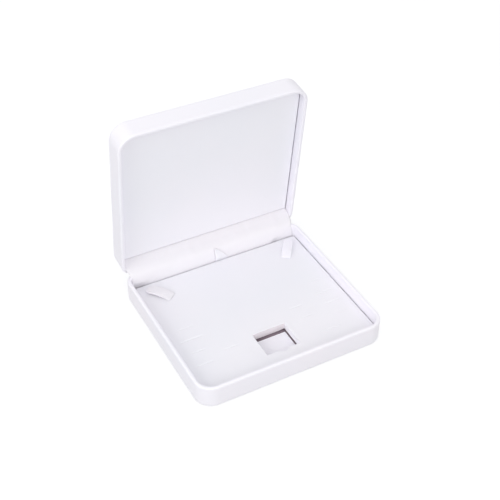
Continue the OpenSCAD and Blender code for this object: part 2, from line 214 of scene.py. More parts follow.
def line(a, b, step):
    """Points from a to b without the last one, at most a step apart."""
    a, b = np.array(a, float), np.array(b, float)
    count = max(1, math.ceil(np.linalg.norm(b - a) / step))
    return [tuple(a + (b - a) * i / count) for i in range(count)]


def closed_loop(corners, step):
    """Points round a closed line, at most a step apart."""
    loop = []
    for i, p in enumerate(corners):
        loop += line(p, corners[(i + 1) % len(corners)], step)
    return loop


def without_repeats(points, gap):
    """The points without those that lie closer than a gap to the one before."""
    kept = [points[0]]
    for p in points[1:]:
        if math.dist(p, kept[-1]) > gap:
            kept.append(p)
    return kept


def smooth_line(points, count):
    """A Catmull-Rom line through the points, evenly spread over their gaps."""
    points = np.array(points, float)
    ends = np.r_[[2 * points[0] - points[1]], points, [2 * points[-1] - points[-2]]]
    result = []
    for t in np.linspace(0, len(points) - 1, count):
        i = min(int(t), len(points) - 2)
        f = t - i
        a, b, c, d = ends[i:i + 4]
        result.append(0.5 * (2 * b + (c - a) * f + (2 * a - 5 * b + 4 * c - d) * f ** 2
                             + (3 * b - a - 3 * c + d) * f ** 3))
    return np.array(result)


def grid_faces(rows, columns):
    """Faces between the points of a grid that is given row by row."""
    width = columns + 1
    starts = [i * width + j for i in range(rows) for j in range(columns)]
    return [(a, a + 1, a + width + 1, a + width) for a in starts]


# ---- the coverings of base and lid ----


def cut_out_spans():
    """The stretches of the back wall that are cut away for the hinges."""
    low, high = LEAF_LOW[0] - HINGE_CUT_SIDE, LEAF_HIGH[0] + HINGE_CUT_SIDE
    return [(-high, -low), (low, high)]


def outline_stations(step=4.0, arc_steps=20, cut_out=False):
    """Stations round the case, anticlockwise: (point, inward direction, in a cut-out)."""
    corners = [(1, 1, REAR_R), (-1, 1, REAR_R), (-1, -1, FRONT_R), (1, -1, FRONT_R)]
    stations = []
    for turn, (sx, sy, radius) in enumerate(corners):
        centre = np.array([sx * (HALF_W - radius), sy * (HALF_D - radius)])
        for i in range(arc_steps + 1):
            a = math.radians(90 * turn + 90 * i / arc_steps)
            out = np.array([math.cos(a), math.sin(a)])
            stations.append((centre + radius * out, -out, False))
        start = stations[-1][0]
        along = np.array([-out[1], out[0]])
        side = HALF_W if turn % 2 == 0 else HALF_D
        length = 2 * side - radius - corners[(turn + 1) % 4][2]
        places = [(s, False) for s in np.arange(step, length - step / 2, step)]
        if cut_out and turn == 0:
            for low, high in cut_out_spans():
                first, last = start[0] - high, start[0] - low
                places = [(s, inside or first < s < last) for s, inside in places]
                places += [(first, False), (first + HINGE_CUT_EDGE, True)]
                places += [(last - HINGE_CUT_EDGE, True), (last, False)]
            places.sort()
        stations += [(start + along * s, -out, inside) for s, inside in places]
    return stations


def wrap_section(height, turn_in, start):
    """The covering's visible line, from the panel over the rim: (inset, height)."""
    path = line((UNDER_W, start), (PANEL_R, start), PANEL_STEP)
    path += arc(PANEL_R, start + PANEL_R, PANEL_R, 270, 180, QUARTER_STEPS)
    path += line((0, start + PANEL_R + 1), (0, height - RIM_R), WALL_STEP)
    path += arc(RIM_R, height - RIM_R, RIM_R, 180, 90, QUARTER_STEPS)
    path += arc(RIM_W - RIM_IN_R, height - RIM_IN_R, RIM_IN_R, 90, 0, QUARTER_STEPS)
    path += line((RIM_W, height - RIM_IN_R - 1), (RIM_W, height - turn_in), WALL_STEP)
    path.append((RIM_W, height - turn_in))
    return path


def sweep(stations, section, top=None):
    """Carries a section round the stations; in a cut-out nothing is higher than top."""
    points, faces = [], []
    for point, inward, cut_out in stations:
        for inset, z in section:
            x, y = point + inward * inset
            points.append((x, y, min(z, top) if cut_out else z))
    count = len(section)
    for i in range(len(stations)):
        a, b = i * count, (i + 1) % len(stations) * count
        faces += [(a + j, b + j, b + j + 1, a + j + 1) for j in range(count - 1)]
    return np.array(points), faces


def soften_wrap(piece, amount, seed):
    """Lets a covering wave a little over its shell, as glued leatherette does."""
    mesh = piece.data
    points = np.array([v.co for v in mesh.vertices]) / MM
    normals = np.array([v.normal for v in mesh.vertices])
    (long, long_size), (short, short_size) = GLUE_WAVES
    waves = long * wobble(points, long_size, seed) + short * wobble(points, short_size, seed + 1)
    points += normals * (amount * waves)[:, None]
    mesh.vertices.foreach_set("co", (points * MM).ravel())
    mesh.update()


def make_base_wrap():
    """The base's covering: up the outside, over the rim and down the inside."""
    section = wrap_section(BASE_H - RIM_SEAM, BASE_H - BASE_TURN_END, BASE_LOW[2])
    points, faces = sweep(outline_stations(cut_out=True), section, HINGE_CUT_TOP)
    piece = mesh_object("base_covering", points, faces)
    tidy_mesh(piece)
    soften_wrap(piece, WRAP_WAVE, 1)
    solidify(piece, WRAP_T)
    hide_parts("base_wrap")
    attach(piece, "base")
    return piece


def panel_fill(points_2d, step):
    """Faces that fill a closed outline, with inner points on a grid."""
    outline = np.array(points_2d)
    low, high = outline.min(0), outline.max(0)
    grid = []
    for x in np.arange(low[0] + step, high[0], step):
        for y in np.arange(low[1] + step, high[1], step):
            grid.append((x, y))
    inset = at_each(grid, plan_depth)
    inner = [p for p, d in zip(grid, inset) if d > UNDER_W + step / 2]
    return triangulate([outline], inner, lambda x, y: plan_depth(x, y) > UNDER_W)


def make_lid_wrap():
    """The lid's covering, drawn with its panel down and then turned over and open."""
    height = CASE_H - BASE_H
    section = wrap_section(height - RIM_SEAM, LID_TURN_IN, 0.0)
    stations = outline_stations()[::-1]
    points, faces = sweep(stations, section)
    edge = points[:: len(section), :2]
    flat, fill = panel_fill(edge, step=6.0)
    offset = len(points)
    depth = at_each(flat, plan_depth)
    swell = -PANEL_SWELL * np.clip((depth - UNDER_W) / PANEL_SWELL_W, 0, 1)
    points = np.r_[points, np.c_[flat, swell]]
    faces += [tuple(offset + i for i in face) for face in fill]
    points[:, 2] = CASE_H - points[:, 2]
    piece = mesh_object("lid_covering", turned(points, -LID_OPEN), faces)
    tidy_mesh(piece, 0.02, outwards=True)
    soften_wrap(piece, WRAP_WAVE, 3)
    solidify(piece, WRAP_T)
    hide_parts("lid_wrap")
    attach(piece, "lid")
    return piece


# ---- flat soft pieces: pads and tabs ----


def plan_depth(x, y, inset=0.0):
    """Distance inwards from the case's outline moved inwards by an inset."""
    radius = (REAR_R if y > 0 else FRONT_R) - inset
    dx = abs(x) - (HALF_W - inset) + radius
    dy = abs(y) - (HALF_D - inset) + radius
    return radius - math.hypot(max(dx, 0), max(dy, 0)) - min(max(dx, dy), 0)


def triangulate(loops, inner, keep):
    """Triangles over loops of points and inner points, where keep(x, y) is true."""
    points, edges = [], []
    for loop in loops:
        first = len(points)
        points += [tuple(p) for p in loop]
        count = len(loop)
        edges += [(first + i, first + (i + 1) % count) for i in range(count)]
    points += [tuple(p) for p in inner]
    result = delaunay_2d_cdt([Vector(p) for p in points], edges, [], 0, 1e-5)
    flat = np.array([tuple(v) for v in result[0]])
    faces = []
    for face in result[2]:
        x, y = flat[list(face)].mean(0)
        if keep(x, y):
            faces.append(tuple(face))
    return flat, faces


def roll(depth, radius):
    """How far a rounded edge has fallen at a distance inside the outline."""
    inside = np.clip(radius - depth, 0, radius)
    return radius - np.sqrt(np.maximum(radius ** 2 - inside ** 2, 0))


def edge_loop(inset, back, spacing=1.5):
    """The case's outline moved inwards by an inset and cut off at y = back."""
    front, rear = max(FRONT_R - inset, 0.01), max(REAR_R - inset, 0.01)
    side, depth = HALF_W - inset, HALF_D - inset
    rise = back - (depth - rear)
    stop = math.degrees(math.asin(clamp(rise / rear)))
    steps = max(4, round(rear * math.radians(stop) / spacing))
    right = arc(side - rear, depth - rear, rear, 0, stop, steps) if rise > 0 else [(side, back)]
    path = right + [(-x, y) for x, y in right[::-1]]
    steps = max(4, round(front * math.pi / 2 / spacing))
    path += arc(front - side, front - depth, front, 180, 270, steps)
    path += arc(side - front, front - depth, front, 270, 360, steps)
    return without_repeats(closed_loop(path, spacing), 0.02)


def slab_mesh(name, loops, rings, inner, keep, top, bottom, place):
    """A closed soft slab; top(flat) and bottom(flat) are its heights at points of its plan.

    loops bound the plan, rings and inner are more points inside it, and place
    carries the finished points to where the piece is.
    """
    extra = [p for ring in rings for p in ring] + list(inner)
    flat, faces = triangulate(loops, extra, keep)
    upper = np.c_[flat, top(flat)]
    lower = np.c_[flat, bottom(flat)]
    count = len(flat)
    every = faces + [tuple(count + i for i in f[::-1]) for f in faces]
    edges = dict.fromkeys(edge for face in faces for edge in zip(face, face[1:] + face[:1]))
    every += [(b, a, count + a, count + b) for a, b in edges if (b, a) not in edges]
    piece = mesh_object(name, place(np.r_[upper, lower]), every)
    piece.data.set_sharp_from_angle(angle=math.radians(SHARP_ANGLE))
    return piece


def grid_points(low, high, step, keep):
    """A triangular grid of points where keep(x, y) is true."""
    points = []
    for row, y in enumerate(np.arange(low[1], high[1], step * ROW_SHARE)):
        for x in np.arange(low[0] + (row % 2) * step / 2, high[0], step):
            if keep(x, y):
                points.append((x, y))
    return points


# ---- display pad ----

# How far the pad's side stays inside the CAD one, its crown with the distance over
# which it rises, and its rounded edge
PAD_SIDE_GAP = 0.2
PAD_CROWN = 0.25
PAD_CROWN_W = 22.0
PAD_EDGE_R = 0.9
PAD_INSET = HALF_W - PAD_HIGH[0] + PAD_SIDE_GAP
PAD_BACK = PAD_HIGH[1]
PAD_TOP = PAD_HIGH[2]

# Waves of the pad's skin: height and length, of the long and the short ones
PAD_WAVES = ((0.12, 26), (0.04, 9))

# The covering's turned-in margin on the underside, and how far the board lies higher
MARGIN_W = 9.0
WELL_MARGIN_W = 4.5
MARGIN_T = 0.55

# The rounded lower edge of a pad, and how much of its roll is kept
UNDER_EDGE_R = 0.9
UNDER_ROLL = 0.4

# The well, the lip under its back wall with its slopes, and the thumb notch in front
WELL_HALF_W = 16.15
WELL_HALF_D = 13.65
WELL_Y = -43.9
WELL_EDGE_R = 0.3
WELL_CORNER_R = 0.3
WELL_LIP = 0.7
WELL_LIP_W = 1.6
LIP_RISE = 2.0
LIP_START = 1.1
LIP_END_W = 2.0
NOTCH_R = 5.5
NOTCH_DEPTH = 2.8

# The well's back wall, coloured darker as painted shade: within this distance of it and turned forwards
SHADED_WALL_NEAR = 0.1
SHADED_WALL_TURN = -0.7

# How far the light lining under the well stops inside its sides and its back
PATCH_SIDE = 1.1
PATCH_BACK = 3.2

# Rings of points: depths inside a pad's edge, beside the step of its margin, and
# distances from the well
RING_DEPTHS = [0.08, 0.3, 0.65, 1.1, 1.6, 2.4, 3.6]
MARGIN_RINGS = [MARGIN_W - 0.15, MARGIN_W + 0.15]
WELL_RINGS = [0.07, 0.25, 0.5, 0.9, 1.6]

# The field of points inside the display pad: corners, spacing, and the distance that
# they keep from the pad's edge, the well, and a crease's ends and sides
PAD_FIELD = ((-88, -80), (88, 75))
PAD_SPACING = 2.4
EDGE_CLEAR = 4.6
WELL_CLEAR = 2.4
CREASE_END_CLEAR = 2.5
CREASE_SIDE_CLEAR = 2.9

# Creases pressed into the pad: x of the left and the right end, y, and depth
CREASES = [
    (-73.4, -55.0, 4.7, 0.16), (-77.3, -53.6, -10.0, 0.22), (-73.7, -58.8, -26.0, 0.2),
    (-76.2, -59.1, -41.7, 0.24), (-46.3, -30.4, -34.4, 0.16), (61.6, 78.5, 6.0, 0.14),
    (59.1, 80.1, -10.8, 0.18), (59.6, 78.8, -25.4, 0.18), (64.7, 77.0, -39.8, 0.14),
    (27.8, 43.9, -16.8, 0.18), (29.5, 46.2, -31.6, 0.15), (39.9, 61.3, -55.0, 0.14),
]
# A crease's groove: half width and strength; its lips: distance, width and heights; and
# the length over which it fades in from its ends
CREASE_WIDTH = 0.42
CREASE_GAIN = 2.5
CREASE_LIP = 1.25
CREASE_LIP_W = 0.9
FRONT_LIP = 0.22
BACK_LIP = 0.12
CREASE_FADE = 4.0
# How far a crease wavers, and how far from its line and its ends it still counts
CREASE_WAVER = 0.35
CREASE_REACH = 5.0
CREASE_END_REACH = 3.0
# Where points lie along a crease, from beyond its ends, and across it
CREASE_STEP = 0.9
CREASE_BEYOND = 1.5
CREASE_SIDES = (-2.0, -1.25, -0.8, -0.42, -0.18, 0.0, 0.18, 0.42, 0.8, 1.25, 2.0)


def pad_depth(x, y):
    """Distance inwards from the display pad's outer edge."""
    return min(plan_depth(x, y, PAD_INSET), PAD_BACK - y)


def well_distance(x, y):
    """Distance outwards from the well and its thumb notch; negative inside."""
    dx, dy = abs(x) - WELL_HALF_W, abs(y - WELL_Y) - WELL_HALF_D
    box = math.hypot(max(dx, 0), max(dy, 0)) + min(max(dx, dy), 0)
    centre = WELL_Y - WELL_HALF_D - NOTCH_DEPTH + NOTCH_R
    return min(box, math.hypot(x, y - centre) - NOTCH_R)


def well_loop(grow):
    """The well's outline with its thumb notch, grown outwards."""
    front = WELL_Y - WELL_HALF_D
    radius = NOTCH_R + grow
    centre = front - NOTCH_DEPTH + NOTCH_R
    reach = math.sqrt(radius ** 2 - (centre - front + grow) ** 2)
    start = math.degrees(math.atan2(front - grow - centre, reach))
    side, back = WELL_HALF_W + grow, WELL_Y + WELL_HALF_D + grow
    corner = max(grow, WELL_CORNER_R)
    path = [(side, front - grow + corner)]
    path += arc(side - corner, back - corner, corner, 0, 90, 4)
    path += arc(-side + corner, back - corner, corner, 90, 180, 4)
    path += arc(-side + corner, front - grow + corner, corner, 180, 270, 4)
    path += arc(0, centre, radius, 180 - start, 360 + start, 16)
    path += arc(side - corner, front - grow + corner, corner, 270, 360, 4)[:-1]
    return closed_loop(path, step=1.2)


def crease_line(crease, x):
    """The y of a crease at x, which wavers a little."""
    y, depth = crease[2:]
    return y + CREASE_WAVER * noise.noise(Vector((x / 9, y, depth * 40)))


def beside_crease(crease, x, y):
    """Whether a point is so close to a crease that the crease's own points serve it."""
    left, right, middle = crease[:3]
    along = left - CREASE_END_CLEAR < x < right + CREASE_END_CLEAR
    return along and abs(y - middle) < CREASE_SIDE_CLEAR


def crease_points():
    """Extra points beside each crease, for its groove and lips."""
    points = []
    for crease in CREASES:
        left, right = crease[:2]
        for x in np.arange(left - CREASE_BEYOND, right + CREASE_BEYOND, CREASE_STEP):
            y = crease_line(crease, x)
            points += [(x, y + side) for side in CREASE_SIDES]
    return points


def crease_height(flat):
    """The creases' part of the pad's height: a groove with a raised front lip."""
    height = np.zeros(len(flat))
    for crease in CREASES:
        left, right, y, depth = crease
        near = abs(flat[:, 1] - y) < CREASE_REACH
        near &= flat[:, 0] > left - CREASE_END_REACH
        near &= flat[:, 0] < right + CREASE_END_REACH
        for i in np.where(near)[0]:
            x = flat[i, 0]
            across = flat[i, 1] - crease_line(crease, x)
            ends = clamp((x - left) / CREASE_FADE) * clamp((right - x) / CREASE_FADE)
            groove = -math.exp(-((across / CREASE_WIDTH) ** 2))
            lips = FRONT_LIP * math.exp(-(((across + CREASE_LIP) / CREASE_LIP_W) ** 2))
            lips += BACK_LIP * math.exp(-(((across - CREASE_LIP) / CREASE_LIP_W) ** 2))
            height[i] += ends * CREASE_GAIN * depth * (groove + lips)
    return height


def pad_top(flat):
    """Height of the display pad's cover."""
    depth = at_each(flat, pad_depth)
    well = at_each(flat, well_distance)
    points = np.c_[flat, np.zeros(len(flat))]
    height = PAD_TOP + PAD_CROWN * np.clip(depth / PAD_CROWN_W, 0, 1)
    for (wave, length), seed in zip(PAD_WAVES, (2, 5)):
        height += wave * wobble(points, length, seed)
    height -= roll(depth, PAD_EDGE_R) + roll(np.maximum(well, 0), WELL_EDGE_R)
    return height + crease_height(flat)


def pad_bottom(flat):
    """Height of the underside: the cover's margin, the board inside it, the well's lip."""
    depth = at_each(flat, pad_depth)
    well = at_each(flat, well_distance)
    margin = (depth < MARGIN_W) | (well < WELL_MARGIN_W)
    behind = np.clip(LIP_RISE * (flat[:, 1] - WELL_Y - WELL_HALF_D) + LIP_START, 0, 1)
    beside = np.clip((WELL_HALF_W - np.abs(flat[:, 0])) / LIP_END_W, 0, 1)
    lip = WELL_LIP * behind * beside * np.clip(WELL_LIP_W - well, 0, 1)
    height = np.where(margin, PAD_LOW[2], PAD_LOW[2] + MARGIN_T)
    return height + UNDER_ROLL * roll(depth, UNDER_EDGE_R) - lip


def dress_pad(piece, skin, edge):
    """The pad's two finishes: its skin, and a darker colour on the well's back wall, which is painted shade."""
    dress(piece, skin)
    piece.data.materials.append(edge)
    back = (WELL_Y + WELL_HALF_D) * MM
    for face in piece.data.polygons:
        at_back = abs(face.center.y - back) < SHADED_WALL_NEAR * MM
        at_back = at_back and abs(face.center.x) < WELL_HALF_W * MM
        if at_back and face.normal.y < SHADED_WALL_TURN:
            face.material_index = 1


def make_pad():
    """The display pad's soft cover with its creases and its well."""
    def keep(x, y):
        return pad_depth(x, y) > 0 and well_distance(x, y) > 0

    def ring(depth):
        return edge_loop(PAD_INSET + depth, PAD_BACK - depth)

    def in_open_field(x, y):
        clear = pad_depth(x, y) >= EDGE_CLEAR and well_distance(x, y) >= WELL_CLEAR
        return clear and not any(beside_crease(crease, x, y) for crease in CREASES)

    rings = [ring(d) for d in RING_DEPTHS + MARGIN_RINGS]
    rings += [well_loop(g) for g in WELL_RINGS]
    inner = crease_points() + grid_points(*PAD_FIELD, PAD_SPACING, in_open_field)
    piece = slab_mesh("display_pad_cover", [ring(0), well_loop(0)], rings, inner, keep,
                      pad_top, pad_bottom, lambda p: p)
    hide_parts("insert_cover")
    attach(piece, "display_pad")
    return piece


# ---- lid pad ----

# The lid pad's cover, measured in the same ways as the display pad's
LID_PAD_BACK = LID_PAD_HIGH[1]
LID_PAD_T = LID_PAD_HIGH[2] - LID_PAD_LOW[2]
LID_PAD_SIDE_GAP = 0.15
LID_PAD_INSET = HALF_W - LID_PAD_HIGH[0] + LID_PAD_SIDE_GAP
LID_PAD_EDGE_R = 0.9
LID_PAD_CROWN = 0.35
LID_PAD_CROWN_W = 30.0
LID_PAD_WAVES = ((0.14, 30), (0.03, 8))
LID_PAD_FIELD = ((-88, -80), (88, 72))
LID_PAD_SPACING = 3.0
LID_EDGE_CLEAR = 5.0


def lid_pad_depth(x, y):
    """Distance inwards from the lid pad's outer edge."""
    return min(plan_depth(x, y, LID_PAD_INSET), LID_PAD_BACK - y)


def make_lid_pad():
    """The lid pad's soft cover, drawn with its face up and then turned into the lid."""
    def keep(x, y):
        return lid_pad_depth(x, y) > 0

    def ring(depth):
        return edge_loop(LID_PAD_INSET + depth, LID_PAD_BACK - depth, 2.0)

    def top(flat):
        depth = at_each(flat, lid_pad_depth)
        points = np.c_[flat, np.zeros(len(flat))]
        height = LID_PAD_T + LID_PAD_CROWN * np.clip(depth / LID_PAD_CROWN_W, 0, 1)
        for (wave, length), seed in zip(LID_PAD_WAVES, (8, 6)):
            height += wave * wobble(points, length, seed)
        return height - roll(depth, LID_PAD_EDGE_R)

    def bottom(flat):
        depth = at_each(flat, lid_pad_depth)
        margin = np.where(depth < MARGIN_W, 0.0, MARGIN_T)
        return margin + UNDER_ROLL * roll(depth, UNDER_EDGE_R)

    def place(points):
        points = points.copy()
        points[:, 2] = LID_PAD_HIGH[2] - points[:, 2]
        return turned(points, -LID_OPEN)

    rings = [ring(d) for d in RING_DEPTHS + MARGIN_RINGS]
    inner = grid_points(*LID_PAD_FIELD, LID_PAD_SPACING,
                        lambda x, y: lid_pad_depth(x, y) > LID_EDGE_CLEAR)
    piece = slab_mesh("lid_pad_covering", [ring(0)], rings, inner, keep, top, bottom, place)
    piece.data.flip_normals()
    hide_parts("lid_pad_cover")
    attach(piece, "lid")
    return piece


# ---- chain tabs ----

# Each tab: its angle to the pad's side in degrees; start of its root, length and width;
# shift across the pad; and how far its outer edge rises and its middle arches
TABS = {
    "left": dict(side=-1, angle=38.0, plan=(-1.2, 25.4, 11.4), shift=1.2, rise=1.0, arch=1.0),
    "right": dict(side=1, angle=35.5, plan=(0.6, 26.6, 9.4), shift=1.5, rise=0.3, arch=0.5),
}
TAB_ROOT_X = 75.0
TAB_ROOT_Y = 67.2
TAB_ROOT_ROUND = 3.4
TAB_END_ROUND = 1.6

# Thickness, how much of it is lost over the last stretch, belly and rounded edges
TAB_T = 2.2
TAB_T_LOSS = 0.9
TAB_TAPER = 9.0
TAB_BELLY = 0.45
TAB_BELLY_W = 4.0
TAB_EDGE_R = 0.6
TAB_UNDER_R = 1.1
TAB_WAVE = 0.1

# How high the sleeve and its underside lie over the pad, and the share of the sleeve's
# arch and rounding that the underside follows
TAB_LIE = 0.1
TAB_UNDER_LIE = 0.12
TAB_UNDER_SHARE = 0.9

# Depths of the rings of points along the edge, and the points inside them
TAB_RINGS = [0.05, 0.2, 0.45, 0.8, 1.3]
TAB_SPACING = 1.0
TAB_EDGE_CLEAR = 1.8


def tab_place(tab, points):
    """Carries a tab from its own frame, with -Y along it, to the pad's corner."""
    angle = -math.radians(tab["angle"])
    c, s = math.cos(angle), math.sin(angle)
    x = points[:, 0] * c - points[:, 1] * s
    y = points[:, 0] * s + points[:, 1] * c
    across = tab["side"] * (TAB_ROOT_X + x) + tab["shift"]
    return np.c_[across, TAB_ROOT_Y + y, PAD_TOP + points[:, 2]]


def tab_outline(start, length, width, depth):
    """The tab's outline: its root is round and its free end is square."""
    half = width / 2 - depth
    root, end = TAB_ROOT_ROUND - depth, max(TAB_END_ROUND - depth, 0.02)
    top, low = start - depth, start - length + depth
    path = arc(half - root, top - root, root, 0, 90, 8)
    path += arc(-half + root, top - root, root, 90, 180, 8)
    path += arc(-half + end, low + end, end, 180, 270, 4)
    path += arc(half - end, low + end, end, 270, 360, 4)
    return without_repeats(closed_loop(path, step=0.9), 0.01)


def tab_depth(start, length, width, x, y):
    """Distance inwards from the tab's outline."""
    middle = start - length / 2
    radius = TAB_ROOT_ROUND if y > middle else TAB_END_ROUND
    dx, dy = abs(x) - width / 2 + radius, abs(y - middle) - length / 2 + radius
    return radius - math.hypot(max(dx, 0), max(dy, 0)) - min(max(dx, dy), 0)


def make_tab(prefix):
    """A padded sleeve of covering that holds a chain's end down."""
    tab = TABS[prefix]
    start, length, width = plan = tab["plan"]

    def inside(x, y):
        return tab_depth(*plan, x, y)

    def lie(flat):
        along = np.clip((start - flat[:, 1]) / length, 0, 1)
        tilt = tab["rise"] * np.clip(0.5 + flat[:, 0] / width, 0, 1) * (1 - along ** 2)
        return tab["arch"] * np.sin(np.pi * along) ** 2 + tilt

    def top(flat):
        depth = at_each(flat, inside)
        # The third number only makes the two tabs wave differently
        points = np.c_[flat, np.full(len(flat), 3.0 * tab["side"])]
        taper = np.clip((start - flat[:, 1] - length + TAB_TAPER) / TAB_TAPER, 0, 1)
        belly = TAB_BELLY * np.clip(depth / TAB_BELLY_W, 0, 1)
        height = TAB_LIE + TAB_T - TAB_T_LOSS * taper + belly + lie(flat)
        return height - roll(depth, TAB_EDGE_R) + TAB_WAVE * wobble(points, 8, 4)

    def bottom(flat):
        rounding = TAB_UNDER_SHARE * roll(at_each(flat, inside), TAB_UNDER_R)
        return TAB_UNDER_LIE + TAB_UNDER_SHARE * lie(flat) + rounding

    rings = [tab_outline(*plan, d) for d in TAB_RINGS]
    inner = grid_points((-width / 2, start - length), (width / 2, start), TAB_SPACING,
                        lambda x, y: inside(x, y) > TAB_EDGE_CLEAR)
    piece = slab_mesh(prefix + "_tab_cover", [tab_outline(*plan, 0)], rings, inner,
                      lambda x, y: inside(x, y) > 0, top, bottom, lambda p: tab_place(tab, p))
    if tab["side"] < 0:
        piece.data.flip_normals()
    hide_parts(prefix + "_chain_tab", prefix + "_tab_card")
    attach(piece, prefix + "_tab")
    return piece


# ---- hinge cover ----

# The cover's front line with the lid open: distance from the pad's back edge and
# height above the base rim, and its half width there
STRIP_LINE = [
    (0.95, -18.6, 85.2), (0.9, -12.2, 85.2), (0.95, -9.6, 85.1), (1.15, -7.0, 84.8),
    (1.6, -4.2, 84.4), (2.3, -1.7, 84.2), (3.5, 0.8, 84.8), (5.5, 2.8, 85.4), (8.4, 4.5, 86.0),
    (11.4, 5.8, 86.3), (14.0, 7.1, 86.4), (16.4, 8.2, 86.4), (18.4, 9.2, 86.4), (20.4, 9.6, 86.4),
]
STRIP_T = 0.8

# Puckers of the cover: height and length. They are strongest at one share of the line,
# fade over a reach from there, and end over the last twelfth of its half width.
STRIP_PUCKERS = ((0.42, 6.0), (0.35, 17.0))
STRIP_LOOSE_AT = 0.72
STRIP_LOOSE_REACH = 0.2
STRIP_HEMS = 12

# Where the cover's lower edge stands further back: place, reach and depth of the left
# end and of one fold, and the height over the pad at which both have faded out
STRIP_END = (-64.0, 18.0, 1.9)
STRIP_FOLD = (66.5, 3.8, 1.3)
STRIP_FADE = 5.0


def strip_recess(x, height):
    """How much further back the cover stands at x and at a height over the pad."""
    start, reach, depth = STRIP_END
    recess = depth * ease(clamp((start - x) / reach))
    place, reach, depth = STRIP_FOLD
    recess += depth * math.exp(-(((x - place) / reach) ** 2))
    return recess * ease(clamp((STRIP_FADE - height) / STRIP_FADE))


def strip_front(height):
    """How far behind the pad the hinge cover stands at a height over the pad."""
    dy, dz = smooth_line(STRIP_LINE, 120).T[:2]
    return float(np.interp(height + PAD_TOP - BASE_H, dz, dy))


def strip_pucker(x, share):
    """How far a point of the cover stands out, at x and at a share of its line."""
    short, long = STRIP_PUCKERS
    pucker = short[0] * noise.noise(Vector((x / short[1], share * 1.5, 3.0)))
    pucker += long[0] * noise.noise(Vector((x / long[1], share * 2.0, 7.0)))
    loose = math.exp(-(((share - STRIP_LOOSE_AT) / STRIP_LOOSE_REACH) ** 2)) + 0.25
    return pucker * loose


def make_strip():
    """The covered strip over the hinges, from the base's floor to the lid pad."""
    rows, columns = 56, 96
    profile = smooth_line(STRIP_LINE, rows + 1)
    tangent = np.gradient(profile[:, :2], axis=0)
    tangent /= np.linalg.norm(tangent, axis=1)[:, None]
    points = []
    for i, (dy, dz, half) in enumerate(profile):
        share = i / rows
        for j in range(columns + 1):
            u = -1 + 2 * j / columns
            x = half * u
            bulge = strip_pucker(x, share) * clamp((1 - abs(u)) * STRIP_HEMS)
            y = PAD_BACK + dy - tangent[i, 1] * bulge
            z = BASE_H + dz + tangent[i, 0] * bulge
            y += strip_recess(x, z - PAD_TOP)
            points.append((x, y, z))
    piece = mesh_object("hinge_cover", points, grid_faces(rows, columns))
    solidify(piece, STRIP_T)
    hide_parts("hinge_cover_strip")
    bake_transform(piece)
    return piece


# ---- lift tab ----

# The folded flap: its left edge, the right end of its foot and of its tip, and the
# heights of its hidden foot, right end and tip over the pad
FLAP_LEFT = -0.2
FLAP_RIGHT = 13.2
FLAP_TIP_W = 3.2
FLAP_FOOT = -2.5
FLAP_END = 0.8
FLAP_TALL = 13.0
# Thickness at the folded left edge, at the glued foot, and the share lost to the right
FLAP_T = 2.6
FLAP_FOOT_T = 0.4
FLAP_THIN = 0.7
FLAP_BELLY = 0.9
# Powers that bend the right edge and move the belly to the left, and the share of the
# belly that is gone at the tip
FLAP_EDGE_BEND = 1.25
FLAP_BELLY_SKEW = 0.6
FLAP_BELLY_LOSS = 0.5
# The height over the pad at which the flap comes free of its foot
FLAP_FREE = 4.0
# How far its back stands off the hinge cover: at the foot, where it is free, and more
# towards the tip; and the share of the belly that its back follows
FLAP_STAND = 0.15
FLAP_STAND_FREE = 0.1
FLAP_STAND_TIP = 0.3
FLAP_BELLY_BACK = 0.6


def make_lift_flap(outside, backing_and_shade):
    """A folded tongue of covering that leans on the hinge cover."""
    rows, columns = 24, 22
    front, back = [], []
    for i in range(rows + 1):
        up = i / rows
        height = FLAP_FOOT + (FLAP_TALL - FLAP_FOOT) * up
        slope = clamp((height - FLAP_END) / (FLAP_TALL - FLAP_END))
        right = FLAP_RIGHT + (FLAP_LEFT + FLAP_TIP_W - FLAP_RIGHT) * slope ** FLAP_EDGE_BEND
        rest = strip_front(height)
        free = clamp(height / FLAP_FREE)
        swell = free * (1 - FLAP_BELLY_LOSS * slope)
        for j in range(columns + 1):
            across = j / columns
            x = FLAP_LEFT + (right - FLAP_LEFT) * across
            belly = FLAP_BELLY * math.sin(math.pi * across ** FLAP_BELLY_SKEW) * swell
            stand = FLAP_STAND + (FLAP_STAND_FREE + FLAP_STAND_TIP * slope) * free
            stand += FLAP_BELLY_BACK * belly
            full = FLAP_T * (1 - FLAP_THIN * across)
            thick = FLAP_FOOT_T + (full - FLAP_FOOT_T) * free
            front.append((x, PAD_BACK + rest - stand - thick, PAD_TOP + height))
            back.append((x, PAD_BACK + rest - stand, PAD_TOP + height))
    width, count = columns + 1, len(front)
    faces = grid_faces(rows, columns)
    backs = [tuple(count + k for k in (a, d, c, b)) for a, b, c, d in faces]
    rim = list(range(width)) + [i * width + columns for i in range(1, rows + 1)]
    rim += [rows * width + j for j in range(columns - 1, -1, -1)]
    rim += [i * width for i in range(rows - 1, 0, -1)]
    backs += [(b, a, count + a, count + b) for a, b in zip(rim, rim[1:] + rim[:1])]
    piece = mesh_object("lift_flap", front + back, faces + backs)
    piece.data.set_sharp_from_angle(angle=math.radians(SHARP_ANGLE))
    dress(piece, outside)
    # The back and rim take the darker colour: partly the covering's real back, partly painted shade on the folded
    # edge
    piece.data.materials.append(backing_and_shade)
    piece.data.polygons.foreach_set("material_index", [0] * len(faces) + [1] * len(backs))
    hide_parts("lift_tab")
    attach(piece, "display_pad")
    return piece


# ---- materials ----

WHITE = (0.925, 0.908, 0.962)
PAD_WHITE = (0.895, 0.888, 0.931)
# The hinge strip's colour is the pad's made darker: painted shade under the open lid
STRIP_WHITE_PAINTED_SHADE = (0.872, 0.853, 0.888)
# Painted shade on the well's back wall
WELL_WALL_PAINTED_SHADE = (0.79, 0.745, 0.77)
